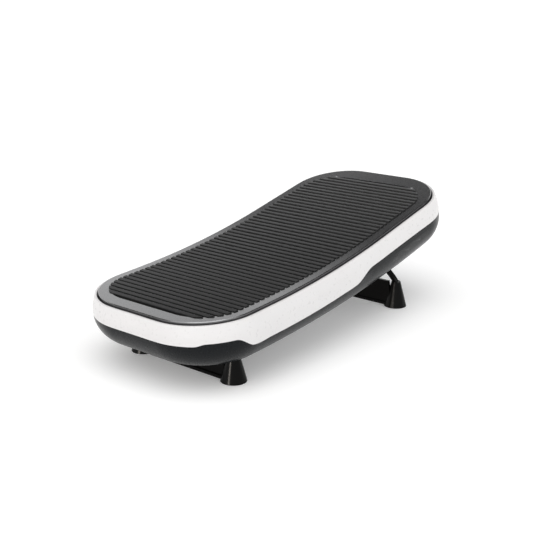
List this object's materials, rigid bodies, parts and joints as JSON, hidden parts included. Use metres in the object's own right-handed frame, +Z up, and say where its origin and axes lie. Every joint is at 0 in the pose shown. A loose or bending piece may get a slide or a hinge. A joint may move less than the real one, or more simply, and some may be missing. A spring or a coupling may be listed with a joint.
{
  "type": "vibration plate",
  "caption": "Whole-body vibration plate: dished ribbed deck rocking on a cross shaft in a two-tone hull on conical feet, driven by a belt-driven crank.",
  "frame": {"origin": "on the floor, under the middle of the overall box", "axes": "+X along the plate towards its high end, +Y across it, +Z up"},
  "size_m": [0.8346, 0.3724, 0.2647],
  "materials": {
    "deck_paint": "satin, finely grained grey-black",
    "mat_rubber": "matt black ribbed rubber",
    "stud_metal": "plain pale cap",
    "rim_white": "gloss white moulding",
    "tub_dark": "satin dark blue-grey moulding",
    "leg_gloss": "gloss black",
    "pad_rubber": "matt black rubber",
    "sheet_steel": "plain zinc-plated sheet",
    "cast_alloy": "as-cast light alloy",
    "bolt_steel": "bright machined steel",
    "iron": "dark iron",
    "motor_paint": "black enamel",
    "magnet": "grey ferrite",
    "copper": "bare copper",
    "brass": "nickel brass",
    "bush_plastic": "natural acetal",
    "belt_rubber": "matt black",
    "case_metal": "pressed case",
    "board_green": "green solder mask",
    "board_black": "black component cases",
    "fitting_black": "fine-textured black",
    "rocker_black": "gloss black",
    "window_red": "dark red infra-red filter"
  },
  "bodies": {
    "base": {"lower_shell": "tub_dark", "upper_rim": "rim_white", "bump_stops": "pad_rubber", "low_leg_left": "leg_gloss", "low_leg_right": "leg_gloss", "high_leg_left": "leg_gloss", "high_leg_right": "leg_gloss", "low_cross_beam": "leg_gloss", "high_cross_beam": "leg_gloss", "foot_pads": "pad_rubber", "low_leg_screws": "bolt_steel", "chassis_plate": "sheet_steel", "chassis_bolts": "bolt_steel", "pivot_blocks": "cast_alloy", "base_bolts": "bolt_steel", "pivot_shaft": "bolt_steel", "crank_housings": "cast_alloy", "crank_bearings": "bolt_steel", "drive_belt": "belt_rubber", "motor_can": "motor_paint", "motor_front_bell": "cast_alloy", "motor_rear_bell": "cast_alloy", "motor_magnets": "magnet", "motor_cradle": "cast_alloy", "motor_straps": "sheet_steel", "cradle_bolts": "bolt_steel", "power_supply": "case_metal", "board_standoffs": "brass", "control_board": "board_green", "board_parts": "board_black", "power_inlet": "fitting_black", "inlet_pins": "brass", "switch_housing": "fitting_black", "receiver_window": "window_red"},
    "deck": {"deck_plate": "deck_paint", "rubber_mat": "mat_rubber", "mat_studs": "stud_metal", "deck_rails": "sheet_steel", "deck_screws": "bolt_steel", "pivot_hangers": "cast_alloy", "pivot_bushes": "bush_plastic", "rod_clevis": "cast_alloy", "clevis_pin": "bolt_steel"},
    "crank": {"crank_shaft": "bolt_steel", "counterweight": "iron", "driven_pulley": "cast_alloy"},
    "rod": {"connecting_rod": "cast_alloy", "rod_bearing": "bolt_steel"},
    "rotor": {"motor_shaft": "bolt_steel", "armature": "iron", "commutator": "copper", "drive_pulley": "cast_alloy"},
    "switch": {"switch_rocker": "rocker_black"}
  },
  "joints": [
    {"name": "deck_rock", "type": "hinge", "parent": "base", "child": "deck", "pos_m": [-0.01445, 0, 0.13318], "axis": [0, 1, 0], "range_deg": [-1, 1], "stiffness_Nm_per_rad": 4000},
    {"name": "crank_spin", "type": "hinge", "parent": "base", "child": "crank", "pos_m": [0.05567, 0, 0.13682], "axis": [0, 1, 0], "continuous": true},
    {"name": "rod_swing", "type": "hinge", "parent": "crank", "child": "rod", "pos_m": [0.05686, 0, 0.13698], "axis": [0, 1, 0], "continuous": true},
    {"name": "rotor_spin", "type": "hinge", "parent": "base", "child": "rotor", "pos_m": [0.18411, 0, 0.1572], "axis": [0, 1, 0], "continuous": true},
    {"name": "switch_rock", "type": "hinge", "parent": "base", "child": "switch", "pos_m": [0.41251, 0.028, 0.20989], "axis": [0, -1, 0], "range_deg": [0, 15]}
  ],
  "couplings": [
    {"joint": "rod_swing", "follows": "crank_spin", "ratio": -1},
    {"joint": "rotor_spin", "follows": "crank_spin", "ratio": 2}
  ]
}
